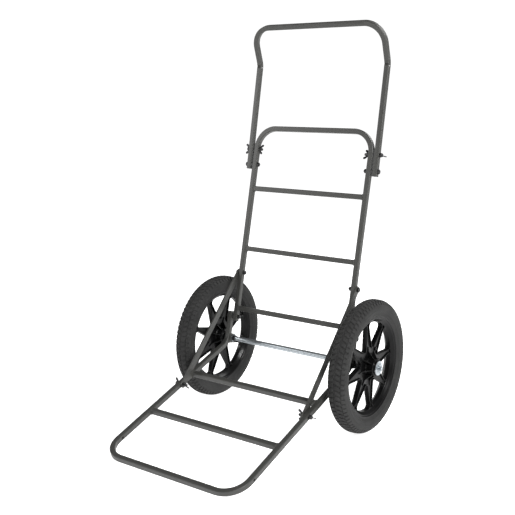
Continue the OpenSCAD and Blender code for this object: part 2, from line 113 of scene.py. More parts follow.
class Value:
    """A socket that takes part in Python expressions."""

    def __init__(self, tree, socket):
        self.tree = tree
        self.socket = socket

    def maths(self, operation, *values):
        return self.tree.node("ShaderNodeMath", {"operation": operation}, dict(enumerate(values)))

    def __add__(self, other):
        return self.maths("ADD", self, other)

    def __radd__(self, other):
        return self.maths("ADD", other, self)

    def __mul__(self, other):
        return self.maths("MULTIPLY", self, other)

    def __rmul__(self, other):
        return self.maths("MULTIPLY", other, self)

    def __truediv__(self, other):
        return self.maths("DIVIDE", self, other)


class Tree:
    """Adds nodes to a shader or geometry node tree."""

    def __init__(self, tree):
        self.tree = tree

    def node(self, kind, settings=None, values=None, output=0):
        """A node's output, once its settings are set and its sockets are filled or linked."""
        made = self.tree.nodes.new(kind)
        for name, setting in (settings or {}).items():
            if name == "stops":
                self.set_stops(made.color_ramp, setting)
            else:
                setattr(made, name, setting)
        for key, value in (values or {}).items():
            if isinstance(value, Value):
                self.tree.links.new(value.socket, made.inputs[key])
            else:
                made.inputs[key].default_value = value
        return Value(self, made.outputs[output])

    def set_stops(self, ramp, stops):
        while len(ramp.elements) < len(stops):
            ramp.elements.new(0.5)
        for element, (place, level) in zip(ramp.elements, stops):
            element.position = place
            element.color = (level, level, level, 1)


class Finish(Tree):
    """A material with one Principled shader."""

    def __init__(self, name, **constants):
        self.material = bpy.data.materials.new(name)
        self.material.use_nodes = True
        super().__init__(self.material.node_tree)
        self.shader = self.tree.nodes["Principled BSDF"]
        for key, value in constants.items():
            self.shader.inputs[key.replace("_", " ")].default_value = value
        self.place = self.node("ShaderNodeTexCoord", output="Object")

    def set(self, socket, value):
        self.tree.links.new(value.socket, self.shader.inputs[socket])

    def stretched(self, scale):
        """Object coordinates stretched by a scale for each axis."""
        return self.node("ShaderNodeMapping", values={"Vector": self.place, "Scale": scale})

    def noise(self, scale, detail=2, roughness=0.5, place=None):
        sockets = {
            "Vector": place or self.place,
            "Scale": scale,
            "Detail": detail,
            "Roughness": roughness,
        }
        return self.node("ShaderNodeTexNoise", values=sockets)

    def cells(self, scale, feature="F1", place=None):
        return self.node(
            "ShaderNodeTexVoronoi", {"feature": feature}, {"Vector": place or self.place, "Scale": scale}
        )

    def band(self, value, *stops):
        """A value reshaped by a ramp of (place, level) stops."""
        return self.node("ShaderNodeValToRGB", {"stops": stops}, {"Fac": value})

    def blend(self, factor, first, second):
        """A colour between two."""
        sockets = {0: factor, 6: first, 7: second}
        return self.node("ShaderNodeMix", {"data_type": "RGBA"}, sockets, output=2)

    def bump(self, height, depth, strength=1.0):
        """Raises the surface by height, from 0 to 1, times a depth in metres."""
        sockets = {"Height": height, "Distance": depth, "Strength": strength}
        self.set("Normal", self.node("ShaderNodeBump", values=sockets))


def colour(red, green, blue):
    return (red, green, blue, 1)


# ---- Finishes ----


def make_powder_coat():
    """Dark warm grey satin powder coat, with orange peel, fine speckle and light scuffs."""
    finish = Finish("powder_coat", Specular_IOR_Level=0.4)
    peel = finish.noise(620, 2)
    speck = finish.noise(2600, 1)
    patch = finish.noise(11, 3)
    scuff = finish.band(finish.noise(95, 5, 0.72), (0.66, 0), (0.78, 1))
    base = finish.blend(patch, colour(0.018, 0.018, 0.0165), colour(0.030, 0.030, 0.0275))
    base = finish.blend(finish.band(speck, (0.35, 0), (0.75, 0.5)), base, colour(0.052, 0.052, 0.048))
    base = finish.blend(scuff * 0.2, base, colour(0.14, 0.14, 0.13))
    finish.set("Base Color", base)
    finish.set("Roughness", 0.34 + 0.14 * patch + 0.12 * scuff + 0.06 * peel)
    finish.bump(peel * 0.8 + speck * 0.25, 0.00016, 0.5)
    return finish.material


def make_weld_coat():
    """The same coat over a weld, a little rougher."""
    finish = Finish("weld_coat", Specular_IOR_Level=0.4)
    grain = finish.noise(900, 3)
    base = finish.blend(grain, colour(0.024, 0.024, 0.022), colour(0.046, 0.046, 0.042))
    finish.set("Base Color", base)
    finish.set("Roughness", 0.42 + 0.2 * grain)
    finish.bump(grain, 0.0002, 0.5)
    return finish.material


def make_zinc():
    """Zinc plating, bluish, with drawing lines along the axle and a faint spangle."""
    finish = Finish("zinc", Metallic=1.0)
    lines = finish.noise(1, 4, 0.6, finish.stretched((18, 1500, 1500)))
    spangle = finish.cells(170)
    cloud = finish.noise(26, 3)
    base = finish.blend(cloud, colour(0.28, 0.31, 0.33), colour(0.52, 0.55, 0.57))
    base = finish.blend(finish.band(spangle, (0.2, 0), (0.9, 0.45)), base, colour(0.16, 0.18, 0.20))
    finish.set("Base Color", base)
    finish.set("Roughness", 0.24 + 0.16 * lines + 0.12 * cloud)
    finish.bump(lines, 0.00005, 0.4)
    return finish.material


def make_dark_steel():
    """Black-finished steel with brighter worn spots."""
    finish = Finish("dark_steel", Metallic=0.85)
    cloud = finish.noise(240, 4, 0.65)
    worn = finish.band(finish.noise(420, 4, 0.7), (0.6, 0), (0.76, 1))
    base = finish.blend(cloud, colour(0.020, 0.020, 0.021), colour(0.050, 0.050, 0.050))
    finish.set("Base Color", finish.blend(worn * 0.35, base, colour(0.22, 0.22, 0.22)))
    finish.set("Roughness", 0.34 + 0.2 * cloud)
    finish.bump(cloud, 0.00008, 0.5)
    return finish.material


def make_black_plastic():
    """Matt moulded caps and spacers."""
    finish = Finish("black_plastic")
    grain = finish.cells(1500)
    cloud = finish.noise(60, 3)
    base = finish.blend(cloud, colour(0.012, 0.012, 0.012), colour(0.024, 0.024, 0.023))
    finish.set("Base Color", base)
    finish.set("Roughness", 0.48 + 0.14 * cloud)
    finish.bump(grain, 0.00006, 0.5)
    return finish.material


def make_wheel_plastic():
    """Black moulded wheel plastic, fairly glossy, with flow marks and fine scratches."""
    finish = Finish("wheel_plastic", Specular_IOR_Level=0.06, Coat_Roughness=0.16)
    flow = finish.noise(34, 3, 0.6)
    grain = finish.noise(1300, 2)
    drawn_out = finish.stretched((2200, 90, 400))
    scratch = finish.band(finish.noise(1, 3, 0.6, drawn_out), (0.63, 0), (0.72, 1))
    base = finish.blend(flow, colour(0.0015, 0.0015, 0.0017), colour(0.004, 0.004, 0.004))
    finish.set("Base Color", finish.blend(scratch * 0.12, base, colour(0.05, 0.05, 0.05)))
    finish.set("Roughness", 0.26 + 0.16 * flow + 0.1 * scratch)
    finish.set("Coat Weight", 0.06 + 0.1 * flow)
    finish.bump(grain * 0.5 + flow, 0.00012, 0.4)
    return finish.material


def make_tyre_rubber():
    """Dark grey rubber: mould grain, dusty patches and lighter worn spots."""
    finish = Finish("tyre_rubber", Specular_IOR_Level=0.16)
    grain = finish.noise(950, 4, 0.65)
    dust = finish.noise(22, 4, 0.6)
    pits = finish.cells(420)
    dusty = finish.band(dust, (0.3, 0), (0.75, 1))
    base = finish.blend(dusty, colour(0.015, 0.015, 0.015), colour(0.027, 0.027, 0.0265))
    base = finish.blend(finish.band(grain, (0.5, 0), (0.8, 0.5)), base, colour(0.044, 0.044, 0.043))
    finish.set("Base Color", base)
    finish.set("Roughness", 0.66 + 0.2 * dust)
    finish.bump(grain * 0.7 + pits * 0.4, 0.00022, 0.6)
    return finish.material


def make_bush_nylon():
    """Off-white nylon, dulled by grease."""
    finish = Finish("bush_nylon", Subsurface_Weight=0.05)
    cloud = finish.noise(180, 4)
    finish.set("Base Color", finish.blend(cloud, colour(0.62, 0.60, 0.54), colour(0.42, 0.40, 0.35)))
    finish.set("Roughness", 0.42 + 0.2 * cloud)
    finish.bump(cloud, 0.00006, 0.4)
    return finish.material


def make_floor_paint():
    """Plain pale studio floor."""
    finish = Finish("floor_paint", Specular_IOR_Level=0.0, Emission_Strength=0.8)
    finish.shader.inputs["Emission Color"].default_value = colour(1, 1, 1)
    cloud = finish.noise(3, 2)
    finish.set("Base Color", finish.blend(cloud, colour(0.88, 0.88, 0.88), colour(0.90, 0.90, 0.90)))
    finish.set("Roughness", 0.86 + 0.06 * cloud)
    return finish.material


FINISHES = {
    "powder_coat": make_powder_coat(),
    "zinc": make_zinc(),
    "dark_steel": make_dark_steel(),
    "black_plastic": make_black_plastic(),
    "wheel_plastic": make_wheel_plastic(),
    "tyre_rubber": make_tyre_rubber(),
    "bush_nylon": make_bush_nylon(),
}
WELD_COAT = make_weld_coat()


# ---- Making and placing pieces ----


def new_object(name, mesh):
    made = bpy.data.objects.new(name, mesh)
    bpy.context.scene.collection.objects.link(made)
    return made


def to_mesh(name, work, smooth_angle=35):
    """Turns a bmesh into a smooth-shaded mesh with sharp edges past an angle."""
    bmesh.ops.remove_doubles(work, verts=work.verts, dist=1e-6)
    bmesh.ops.recalc_face_normals(work, faces=work.faces)
    mesh = bpy.data.meshes.new(name)
    work.to_mesh(mesh)
    work.free()
    mesh.shade_smooth()
    mesh.set_sharp_from_angle(angle=math.radians(smooth_angle))
    return mesh


def evaluated_mesh(thing):
    """The plain mesh of an object with its modifiers, or of a curve."""
    bpy.context.view_layer.update()
    graph = bpy.context.evaluated_depsgraph_get()
    return bpy.data.meshes.new_from_object(thing.evaluated_get(graph), depsgraph=graph)


def drop(thing):
    data = thing.data
    bpy.data.objects.remove(thing)
    if isinstance(data, bpy.types.Curve):
        bpy.data.curves.remove(data)


def joined(name, meshes, smooth_angle=35):
    """One mesh from (mesh, matrix) pairs."""
    work = bmesh.new()
    for mesh, matrix in meshes:
        part = mesh.copy()
        part.transform(matrix)
        work.from_mesh(part)
        bpy.data.meshes.remove(part)
    mesh = bpy.data.meshes.new(name)
    work.to_mesh(mesh)
    work.free()
    mesh.shade_smooth()
    mesh.set_sharp_from_angle(angle=math.radians(smooth_angle))
    return mesh


def piece(name, mesh, body, slot, finish=None, stands_for=()):
    """Adds a finished piece that rides on a body and may stand for CAD nodes."""
    mesh.materials.clear()
    mesh.materials.append(finish or FINISHES[slot])
    made = new_object(name, mesh)
    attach(made, body)
    if stands_for:
        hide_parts(*stands_for)
    return made


def outward(side, place, turn=0.0):
    """Carries a shape built along +Z to a place, with +Z pointing outwards and a turn about X."""
    aim = Matrix.Rotation(math.radians(90 * side), 4, "Y")
    return Matrix.Translation(place) @ Matrix.Rotation(turn, 4, "X") @ aim


def inward(side, place, turn=0.0):
    return outward(-side, place, turn)


# ---- Shapes ----


def lathe(name, outline, steps=64, closed=True, smooth_angle=35):
    """Turns an outline of (radius, height) points about Z."""
    work = bmesh.new()
    rings = []
    for step in range(steps):
        angle = 2 * math.pi * step / steps
        across = (math.cos(angle), math.sin(angle))
        rings.append([work.verts.new((r * across[0], r * across[1], z)) for r, z in outline])
    count = len(outline)
    last = count if closed else count - 1
    for step in range(steps):
        first, second = rings[step], rings[(step + 1) % steps]
        for i in range(last):
            j = (i + 1) % count
            corners = (first[i], second[i], second[j], first[j])
            if outline[i][0] < 1e-9 and outline[j][0] < 1e-9:
                continue
            work.faces.new(corners)
    bmesh.ops.remove_doubles(work, verts=work.verts, dist=1e-7)
    bmesh.ops.dissolve_degenerate(work, edges=work.edges, dist=1e-7)
    return to_mesh(name, work, smooth_angle)


def rounded(outline, radius, steps=3):
    """A closed outline with every corner rounded as far as its sides allow."""
    out = []
    for i, corner in enumerate(outline):
        corner = Vector(corner)
        before = Vector(outline[i - 1]) - corner
        after = Vector(outline[(i + 1) % len(outline)]) - corner
        reach = min(radius, before.length * 0.45, after.length * 0.45)
        start = corner + before.normalized() * reach
        end = corner + after.normalized() * reach
        for step in range(steps + 1):
            t = step / steps
            out.append(tuple(start * (1 - t) ** 2 + corner * 2 * t * (1 - t) + end * t ** 2))
    return out


def plate(name, outlines, half_thickness, bevel, steps=2):
    """A flat plate with rounded edges from closed outlines in XY; inner outlines are holes."""
    curve = bpy.data.curves.new(name, "CURVE")
    curve.dimensions = "2D"
    curve.fill_mode = "BOTH"
    curve.extrude = half_thickness - bevel
    curve.bevel_depth = bevel
    curve.bevel_resolution = steps
    curve.offset = -bevel
    for outline in outlines:
        spline = curve.splines.new("POLY")
        spline.points.add(len(outline) - 1)
        for point, (x, y) in zip(spline.points, outline):
            point.co = (x, y, 0, 1)
        spline.use_cyclic_u = True
    thing = new_object(name, curve)
    mesh = evaluated_mesh(thing)
    drop(thing)
    work = bmesh.new()
    work.from_mesh(mesh)
    bpy.data.meshes.remove(mesh)
    return to_mesh(name, work)


def hex_block(name, corner_r, height, hole_r=0.0, both_ends=False, steps=48):
    """A hexagon with the chamfer that a turned cone leaves on its corners."""
    flat_r = corner_r * math.cos(math.pi / 6)
    face_r = flat_r * 0.96
    cone_slope = 0.58
    work = bmesh.new()
    rings = []
    for step in range(steps):
        angle = 2 * math.pi * step / steps
        from_flat = (angle + math.pi / 6) % (math.pi / 3) - math.pi / 6
        edge_r = flat_r / math.cos(from_flat)
        fall = (edge_r - face_r) * cone_slope
        foot = fall if both_ends else 0.0
        heights = [(hole_r, 0.0)] if hole_r else [(0.0, 0.0)]
        heights += [(face_r if both_ends else edge_r, 0.0), (edge_r, foot)]
        heights += [(edge_r, height - fall), (face_r, height)]
        heights += [(hole_r, height)] if hole_r else [(0.0, height)]
        across = (math.cos(angle), math.sin(angle))
        rings.append([work.verts.new((r * across[0], r * across[1], z)) for r, z in heights])
    for step in range(steps):
        first, second = rings[step], rings[(step + 1) % steps]
        count = len(first)
        for i in range(count if hole_r else count - 1):
            j = (i + 1) % count
            work.faces.new((first[i], second[i], second[j], first[j]))
    bmesh.ops.remove_doubles(work, verts=work.verts, dist=1e-7)
    bmesh.ops.dissolve_degenerate(work, edges=work.edges, dist=1e-7)
    return to_mesh(name, work, 25)


# ---- Geometry node trees for what repeats ----


def array_tree(name, inputs):
    """An empty geometry tree with named inputs, and a way to read them."""
    group = bpy.data.node_groups.new(name, "GeometryNodeTree")
    group.interface.new_socket("Geometry", in_out="OUTPUT", socket_type="NodeSocketGeometry")
    for label, kind in inputs.items():
        group.interface.new_socket(label, in_out="INPUT", socket_type=kind)
    tree = Tree(group)
    source = group.nodes.new("NodeGroupInput")
    return tree, {label: Value(tree, source.outputs[label]) for label in inputs}


def close_tree(tree, instances, finish):
    """Ends a tree in Realize Instances and Set Material."""
    real = tree.node("GeometryNodeRealizeInstances", values={"Geometry": instances})
    done = tree.node("GeometryNodeSetMaterial", values={"Geometry": real, "Material": finish})
    end = tree.tree.nodes.new("NodeGroupOutput")
    tree.tree.links.new(done.socket, end.inputs["Geometry"])
    return tree.tree


def make_ring_tree():
    """Repeats a piece about Z."""
    tree, given = array_tree(
        "repeat_round_a_wheel",
        {
            "Piece": "NodeSocketObject",
            "Count": "NodeSocketInt",
            "First angle": "NodeSocketFloat",
            "Finish": "NodeSocketMaterial",
        },
    )
    shape = tree.node("GeometryNodeObjectInfo", values={"Object": given["Piece"]}, output="Geometry")
    points = tree.node("GeometryNodePoints", values={"Count": given["Count"]})
    index = tree.node("GeometryNodeInputIndex")
    angle = index * (2 * math.pi) / given["Count"] + given["First angle"]
    turn = tree.node("ShaderNodeCombineXYZ", values={"Z": angle})
    sockets = {"Points": points, "Instance": shape, "Rotation": turn}
    return close_tree(tree, tree.node("GeometryNodeInstanceOnPoints", values=sockets), given["Finish"])


def make_row_tree():
    """Repeats a piece along Z."""
    tree, given = array_tree(
        "repeat_along_a_thread",
        {
            "Piece": "NodeSocketObject",
            "Count": "NodeSocketInt",
            "Pitch": "NodeSocketFloat",
            "Finish": "NodeSocketMaterial",
        },
    )
    shape = tree.node("GeometryNodeObjectInfo", values={"Object": given["Piece"]}, output="Geometry")
    step = tree.node("ShaderNodeCombineXYZ", values={"Z": given["Pitch"]})
    line = tree.node("GeometryNodeMeshLine", values={"Count": given["Count"], "Offset": step})
    instances = tree.node("GeometryNodeInstanceOnPoints", values={"Points": line, "Instance": shape})
    return close_tree(tree, instances, given["Finish"])


def make_weld_tree():
    """Lays overlapping drops of weld along a path, each a little different in size."""
    tree, given = array_tree(
        "weld_along_a_joint",
        {
            "Path": "NodeSocketObject",
            "Drop radius": "NodeSocketFloat",
            "Spacing": "NodeSocketFloat",
            "Seed": "NodeSocketInt",
            "Finish": "NodeSocketMaterial",
        },
    )
    path = tree.node("GeometryNodeObjectInfo", values={"Object": given["Path"]}, output="Geometry")
    curve = tree.node("GeometryNodeMeshToCurve", values={"Mesh": path})
    points = tree.node(
        "GeometryNodeCurveToPoints", {"mode": "LENGTH"}, {"Curve": curve, "Length": given["Spacing"]}
    )
    sockets = {"Radius": given["Drop radius"], "Subdivisions": 2}
    ball = tree.node("GeometryNodeMeshIcoSphere", values=sockets)
    size = tree.node(
        "FunctionNodeRandomValue",
        {"data_type": "FLOAT"},
        {2: 0.85, 3: 1.12, "Seed": given["Seed"]},
        output=1,
    )
    sockets = {"Points": points, "Instance": ball, "Scale": size}
    return close_tree(tree, tree.node("GeometryNodeInstanceOnPoints", values=sockets), given["Finish"])


RING_TREE = make_ring_tree()
ROW_TREE = make_row_tree()
WELD_TREE = make_weld_tree()


def grown(name, tree, smooth_angle=35, **inputs):
    """The plain mesh that a geometry tree makes from its named inputs."""
    holder = new_object(name, bpy.data.meshes.new(name))
    modifier = holder.modifiers.new(name, "NODES")
    modifier.node_group = tree
    for item in tree.interface.items_tree:
        if item.in_out == "INPUT":
            modifier[item.identifier] = inputs[item.name.replace(" ", "_").lower()]
    mesh = evaluated_mesh(holder)
    bpy.data.objects.remove(holder)
    mesh.name = name
    mesh.shade_smooth()
    mesh.set_sharp_from_angle(angle=math.radians(smooth_angle))
    return mesh


def repeated(name, mesh, tree, finish, **inputs):
    """A mesh repeated by a geometry tree."""
    seed = new_object(name + "_seed", mesh)
    made = grown(name, tree, piece=seed, finish=finish, **inputs)
    bpy.data.objects.remove(seed)
    return made


# ---- Tubes ----


def cut_across(work, place, direction, chosen):
    """Adds a line of edges where a plane meets the chosen faces."""
    near = [face for face in work.faces if chosen(face)]
    edges = {edge for face in near for edge in face.edges}
    corners = {corner for face in near for corner in face.verts}
    geometry = near + list(edges) + list(corners)
    bmesh.ops.bisect_plane(work, geom=geometry, plane_co=place, plane_no=direction)


def dented_handle():
    """The handle's tube with the creases that bending left in front of each kink."""
    work = bmesh.new()
    work.from_mesh(NODES["handle_frame"].data)
    bmesh.ops.remove_doubles(work, verts=work.verts, dist=1e-6)
    box_low, box_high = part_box("handle_frame")
    kink = max((v.co for v in work.verts), key=lambda co: co.y).copy()
    arm_x = box_high.x - TUBE / 2
    # The kink's cross-cut lies midway between the arm's two straight lengths
    grip = Vector((0, box_low.y, box_high.z)) + Vector((0, TUBE / 2, -TUBE / 2))
    below = (Vector((0, kink.y, kink.z)) - HANDLE_PIVOT * Vector((0, 1, 1))).normalized()
    above = (grip - Vector((0, kink.y, kink.z))).normalized()
    along = (below + above).normalized()
    front = Vector((0, -along.z, along.y))
    centre = Vector((0, kink.y, kink.z)) + front * (TUBE / 2)
    reach = 13 * MM
    cuts = 34
    # Depths in millimetres, widths in metres
    fold_depth, fold_width = 3.2, 2.2 * MM
    ridge_height, ridge_width = 1.2, 2.0 * MM
    ridge_places = (-5 * MM, 5 * MM)

    def run(vertex):
        return (vertex.co - centre).dot(along)

    for i in range(cuts + 1):
        offset = -reach + 2 * reach * i / cuts

        def crosses(face):
            runs = [run(v) for v in face.verts]
            return min(runs) < offset < max(runs)

        cut_across(work, centre + along * offset, along, crosses)

    def at_kink(face):
        return all(abs(run(v)) < reach * 1.05 for v in face.verts)

    for side in SIDES.values():
        for step in range(-3, 4):
            place = Vector((side * arm_x + step * 2 * MM, 0, 0))
            cut_across(work, place, Vector((1, 0, 0)), at_kink)
    for vertex in work.verts:
        offset = run(vertex)
        if abs(offset) > reach or (vertex.co - centre).dot(front) < TUBE * 0.3:
            continue
        across = (abs(vertex.co.x) - arm_x) / (TUBE / 2)
        lobe = max(0.0, 1 - 0.75 * across ** 2)
        fold = fold_depth * math.exp(-((offset / fold_width) ** 2))
        ridge = sum(
            ridge_height * math.exp(-(((offset - place) / ridge_width) ** 2)) for place in ridge_places
        )
        vertex.co += front * (ridge - fold) * lobe * MM
    bmesh.ops.triangulate(work, faces=work.faces)
    return to_mesh("handle_tube", work, 40)


WELD_DROP_R = 1.9 * MM
WELD_SPACING = 1.5 * MM
# How far a bead's middle lies in from the end of its bar
WELD_INSET = 0.6 * MM


def weld_round(name, place, up, back, half, seed):
    """A weld bead round a square tube's end, which meets the other tube across X."""
    corners = []
    for a, b in rounded([(-half, -half), (half, -half), (half, half), (-half, half)], 2.5 * MM, 2):
        corners.append(place + up * a + back * b)
    path = bpy.data.meshes.new(name + "_path")
    count = len(corners)
    path.from_pydata([tuple(c) for c in corners], [(i, (i + 1) % count) for i in range(count)], [])
    route = new_object(name + "_path", path)
    mesh = grown(
        name,
        WELD_TREE,
        smooth_angle=60,
        path=route,
        drop_radius=WELD_DROP_R,
        spacing=WELD_SPACING,
        seed=seed,
        finish=WELD_COAT,
    )
    bpy.data.objects.remove(route)
    return mesh


def add_welds(name, bars, up, back, body):
    """The beads at both ends of some crossbars, as one piece."""
    beads = []
    for number, bar in enumerate(bars):
        centre = middle(bar)
        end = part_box(bar)[1]
        for side in SIDES.values():
            place = Vector((side * (end.x - WELD_INSET), centre.y, centre.z))
            seed = 2 * number + (side > 0)
            bead = weld_round(f"{bar}_bead_{seed}", place, up, back, TUBE / 2, seed)
            beads.append((bead, Matrix.Identity(4)))
    piece(name, joined(name, beads, 60), body, "powder_coat", WELD_COAT)


def build_tubes():
    handle = dented_handle()
    piece("handle_tube", handle, "handle", "powder_coat", stands_for=["handle_frame"])
    uprights = ["upright_lower_crossbar", "upright_middle_crossbar", "upright_upper_crossbar"]
    add_welds("upright_welds", uprights, LEG_UP, LEG_BACK, "upright")
    bed_bars = ["toe_rear_crossbar", "toe_middle_crossbar"]
    add_welds("bed_welds", bed_bars, RAIL_FORWARD, RAIL_UP, "lower_frame")


# ---- Wheels ----

WHEEL_TURN = {"left": math.radians(22), "right": math.radians(7)}
SPOKES = 8
WINDOW_R = 137 * MM
SPOKE_END_R = 142.5 * MM
SPOKE_TIP_W = 7 * MM
SPOKE_ROOT_W = 55 * MM
RIB_HALF = 8 * MM
RIB_W = 2.9 * MM
WEB_HALF = 3.6 * MM
LIP_HALF = 20 * MM
BORE_R = 9.9 * MM
DRUM_R = 25 * MM
BASE_RING_R = 28 * MM
# The small boss on the face of one spoke
BOSS_SPOKE = 3
BOSS_AT_R = 60 * MM

LUGS = 80
LUG_H = 2.5 * MM
BEAD_DEPTH = 5.8 * MM
BEAD_HALF = 16.9 * MM
# Angles round the tyre's section, in degrees from the middle of the tread
TREAD_END = (62, 70)
SHOULDER_BLOCK = (38, 69)
CENTRE_BLOCK = (4, 34)
# Fine ribs on the side walls: angle and width in degrees
SIDE_RIBS = ((92, 2.2), (118, 3.0))
SIDE_RIB_H = 0.7 * MM


def wheel_sizes(side_name):
    """A wheel's sizes as its CAD nodes have them; heights run outwards from its middle plane."""
    side = SIDES[side_name]
    centre = joint_place(f"{side_name}_wheel_spin")
    tyre_low, tyre_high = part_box(f"tyre_{side_name}")
    rim_low, rim_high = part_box(f"wheel_rim_{side_name}")
    hub = sorted(((rim_low.x - centre.x) * side, (rim_high.x - centre.x) * side))
    return {
        "centre": centre,
        "tyre_r": (tyre_high.z - tyre_low.z) / 2,
        "tyre_half": (tyre_high.x - tyre_low.x) / 2,
        "rim_r": (rim_high.z - rim_low.z) / 2,
        "hub_in": hub[0],
        "hub_out": hub[1],
    }


def tyre_point(size, angle, lift):
    """A point (radius, height) of the tyre's section, lifted off its outline."""
    roundness = 2 / 2.4
    section = size["tyre_r"] - size["rim_r"]
    # A little over half, because the section runs on inside the rim
    half_h = 0.54 * section
    middle_r = size["tyre_r"] - half_h

    def at(a):
        bulge = [math.copysign(abs(f(a)) ** roundness, f(a)) for f in (math.cos, math.sin)]
        return Vector((middle_r + half_h * bulge[0], size["tyre_half"] * bulge[1]))

    here = at(angle)
    along = (at(angle + 0.01) - at(angle - 0.01)).normalized()
    return here + Vector((along.y, -along.x)) * lift


def smooth_step(low, high, value):
    t = min(1.0, max(0.0, (value - low) / (high - low)))
    return t * t * (3 - 2 * t)


def tyre_casing(size):
    """The tyre's body: lower under the tread, with two fine ribs on each side wall."""
    outline = []
    for degrees in range(-128, 129, 2):
        away = abs(degrees)
        lift = -LUG_H * (1 - smooth_step(*TREAD_END, away))
        ribs = sum(math.exp(-(((away - angle) / width) ** 2)) for angle, width in SIDE_RIBS)
        lift += SIDE_RIB_H * ribs
        outline.append(tuple(tyre_point(size, math.radians(degrees), lift)))
    bead_r = size["rim_r"] - BEAD_DEPTH
    outline += [(bead_r, BEAD_HALF), (bead_r, -BEAD_HALF)]
    return lathe("tyre_casing", outline, 160, smooth_angle=50)


def lug_mesh(size):
    """The blocks of one tread pitch: a shoulder and a centre block on each side."""
    pitch = 2 * math.pi / LUGS
    work = bmesh.new()

    def block(from_angle, to_angle, from_turn, to_turn, skew, rows):
        # Lift and inset of the foot, which is sunk in the casing, the edge and the top
        levels = ((-LUG_H - 0.8 * MM, 0.0), (-0.6 * MM, 0.06), (0.0, 0.16))
        grids = []
        for lift, inset in levels:
            grid = []
            for i in range(rows + 1):
                share = i / rows
                a = from_angle + (to_angle - from_angle) * (inset * 0.3 + share * (1 - inset * 0.6))
                half = (to_turn - from_turn) / 2 * (1 - inset)
                mid = (from_turn + to_turn) / 2 + skew * (share - 0.5)
                line = []
                for turn in (mid - half, mid + half):
                    r, z = tyre_point(size, math.radians(a), lift)
                    around = turn * pitch
                    line.append(work.verts.new((r * math.cos(around), r * math.sin(around), z)))
                grid.append(line)
            grids.append(grid)
        top, bottom = grids[-1], grids[0]
        for i in range(rows):
            work.faces.new((top[i][0], top[i][1], top[i + 1][1], top[i + 1][0]))
            work.faces.new((bottom[i][0], bottom[i + 1][0], bottom[i + 1][1], bottom[i][1]))
        for low, high in zip(grids, grids[1:]):
            for i in range(rows):
                work.faces.new((low[i][1], low[i + 1][1], high[i + 1][1], high[i][1]))
                work.faces.new((low[i][0], high[i][0], high[i + 1][0], low[i + 1][0]))
            work.faces.new((low[0][0], low[0][1], high[0][1], high[0][0]))
            work.faces.new((low[-1][0], high[-1][0], high[-1][1], low[-1][1]))

    for side, phase in ((-1, 0.0), (1, 0.5)):
        low, high = (side * angle for angle in SHOULDER_BLOCK)
        block(low, high, phase - 0.37, phase + 0.37, 0.10, 6)
        low, high = (side * angle for angle in CENTRE_BLOCK)
        block(low, high, phase - 0.12, phase + 0.58, 0.42, 3)
    return to_mesh("tread_pitch", work, 30)


def window_outline(grow=0.0):
    """One window between two spokes, centred on +X. Grow moves its edge into the spokes."""
    half_pitch = math.pi / SPOKES
    outer_r = WINDOW_R + grow
    inner_fillet, outer_fillet = 8.5 * MM + grow, 11 * MM + grow
    # The spoke's edge, in a frame with the spoke on +X
    start = Vector((0, SPOKE_ROOT_W / 2 - grow))
    along = Vector((SPOKE_END_R, (SPOKE_TIP_W - SPOKE_ROOT_W) / 2)).normalized()
    normal = Vector((-along.y, along.x))
    middle_way = Vector((math.cos(half_pitch), math.sin(half_pitch)))
    inner_c = middle_way * ((inner_fillet + start.dot(normal)) / middle_way.dot(normal))
    base = start + normal * outer_fillet
    b = base.dot(along)
    c = base.length_squared - (outer_r - outer_fillet) ** 2
    outer_c = base + along * (-b + math.sqrt(b * b - c))

    def arc(centre, radius, from_angle, to_angle, steps):
        return [
            Vector((centre.x + radius * math.cos(a), centre.y + radius * math.sin(a)))
            for a in (from_angle + (to_angle - from_angle) * i / steps for i in range(steps + 1))
        ]

    down = math.atan2(-normal.y, -normal.x)
    out_angle = math.atan2(outer_c.y, outer_c.x)
    half = arc(inner_c, inner_fillet, half_pitch + math.pi, down + 2 * math.pi, 8)
    half += arc(outer_c, outer_fillet, down, out_angle, 10)
    half += arc(Vector((0, 0)), outer_r, out_angle, half_pitch, 5)[1:]
    points = []
    for p in half:
        angle = math.atan2(p.y, p.x) - half_pitch
        points.append((p.length * math.cos(angle), p.length * math.sin(angle)))
    return points + [(x, -y) for x, y in reversed(points[1:-1])]


def turned(points, angle):
    c, s = math.cos(angle), math.sin(angle)
    return [(x * c - y * s, x * s + y * c) for x, y in points]


def circle(radius, steps=96):
    return [
        (radius * math.cos(2 * math.pi * i / steps), radius * math.sin(2 * math.pi * i / steps))
        for i in range(steps)
    ]


